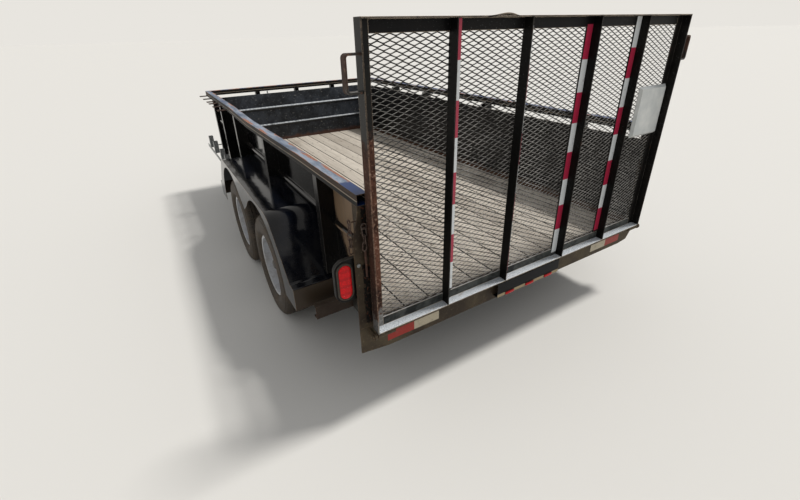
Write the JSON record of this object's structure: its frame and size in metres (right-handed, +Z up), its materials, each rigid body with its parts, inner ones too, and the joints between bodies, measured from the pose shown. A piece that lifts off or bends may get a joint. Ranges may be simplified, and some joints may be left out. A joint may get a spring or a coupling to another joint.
{
  "type": "utility trailer",
  "caption": "Open utility trailer with solid sides, plank deck, tandem axles under teardrop fenders, mesh ramp gate, A-frame tongue and jack.",
  "frame": {"origin": "on the ground, under the middle of the whole trailer's box", "axes": "+X forward along the tongue, +Y to the trailer's left, +Z up"},
  "size_m": [5.184, 2.484, 1.765],
  "materials": {
    "black_paint": "gloss black paint, dusty and chipped",
    "frame_paint": "black frame paint with road dust",
    "rusty_steel": "rust-brown steel with the paint worn off",
    "worn_rail": "paint rubbed to grey-blue steel with rust along the edges",
    "galvanised": "bare speckled zinc-grey steel",
    "deck_wood": "weathered grey plank, rough sawn",
    "tyre_rubber": "dusty tyre rubber",
    "rim_silver": "silver wheel paint, dusty",
    "hub_metal": "black painted casting",
    "red_lens": "clear red moulded lens",
    "rubber_black": "soft black rubber",
    "plate_grey": "pale grey painted sheet",
    "zinc_tube": "zinc plated tube"
  },
  "bodies": {
    "chassis": {"axles": "frame_paint", "backing_plates": "hub_metal", "corner_posts": "black_paint", "coupler": "zinc_tube", "coupler_latch": "zinc_tube", "crossmembers": "frame_paint", "deck_planks": "deck_wood", "equalisers": "hub_metal", "fender_left": "black_paint", "fender_right": "black_paint", "frame_rails": "frame_paint", "front_posts": "black_paint", "front_rail": "black_paint", "front_rub_rails": "black_paint", "front_sheet": "black_paint", "front_sill": "frame_paint", "hinge_lugs": "frame_paint", "jack_body": "frame_paint", "jack_crank": "zinc_tube", "lamp_grommets": "rubber_black", "lamp_lenses": "red_lens", "latch_chains": "rusty_steel", "leaf_springs": "hub_metal", "light_bar": "frame_paint", "rear_outriggers": "rusty_steel", "rear_sill": "frame_paint", "side_posts": "black_paint", "side_sheet_left": "black_paint", "side_sheet_right": "black_paint", "spring_hangers": "frame_paint", "tail_lamp_brackets": "frame_paint", "tongue_beams": "frame_paint", "tool_rack_hooks": "rusty_steel", "tool_rack_sockets": "frame_paint", "top_rail_left": "worn_rail", "top_rail_right": "black_paint"},
    "gate": {"gate_catches": "black_paint", "gate_crossbars": "galvanised", "gate_mesh": "black_paint", "gate_pins": "rusty_steel", "gate_plate": "plate_grey", "gate_ribs": "black_paint", "gate_uprights": "rusty_steel"},
    "jack_leg": {"jack_leg": "zinc_tube"},
    "wheel_rear_left": {"tyre_rear_left": "tyre_rubber", "rim_rear_left": "rim_silver", "hub_rear_left": "hub_metal"},
    "wheel_rear_right": {"tyre_rear_right": "tyre_rubber", "rim_rear_right": "rim_silver", "hub_rear_right": "hub_metal"},
    "wheel_front_left": {"tyre_front_left": "tyre_rubber", "rim_front_left": "rim_silver", "hub_front_left": "hub_metal"},
    "wheel_front_right": {"tyre_front_right": "tyre_rubber", "rim_front_right": "rim_silver", "hub_front_right": "hub_metal"}
  },
  "joints": [
    {"name": "gate_hinge", "type": "hinge", "parent": "chassis", "child": "gate", "pos_m": [-2.575, 0, 0.47], "axis": [0, -1, 0], "range_deg": [0, 110]},
    {"name": "jack_slide", "type": "slide", "parent": "chassis", "child": "jack_leg", "axis": [0, 0, 1], "range_m": [0, 0.28]},
    {"name": "wheel_rear_left_spin", "type": "hinge", "parent": "chassis", "child": "wheel_rear_left", "pos_m": [-1.463, 1.128, 0.344], "axis": [0, 1, 0], "continuous": true},
    {"name": "wheel_rear_right_spin", "type": "hinge", "parent": "chassis", "child": "wheel_rear_right", "pos_m": [-1.463, -1.128, 0.344], "axis": [0, 1, 0], "continuous": true},
    {"name": "wheel_front_left_spin", "type": "hinge", "parent": "chassis", "child": "wheel_front_left", "pos_m": [-0.627, 1.128, 0.344], "axis": [0, 1, 0], "continuous": true},
    {"name": "wheel_front_right_spin", "type": "hinge", "parent": "chassis", "child": "wheel_front_right", "pos_m": [-0.627, -1.128, 0.344], "axis": [0, 1, 0], "continuous": true}
  ]
}
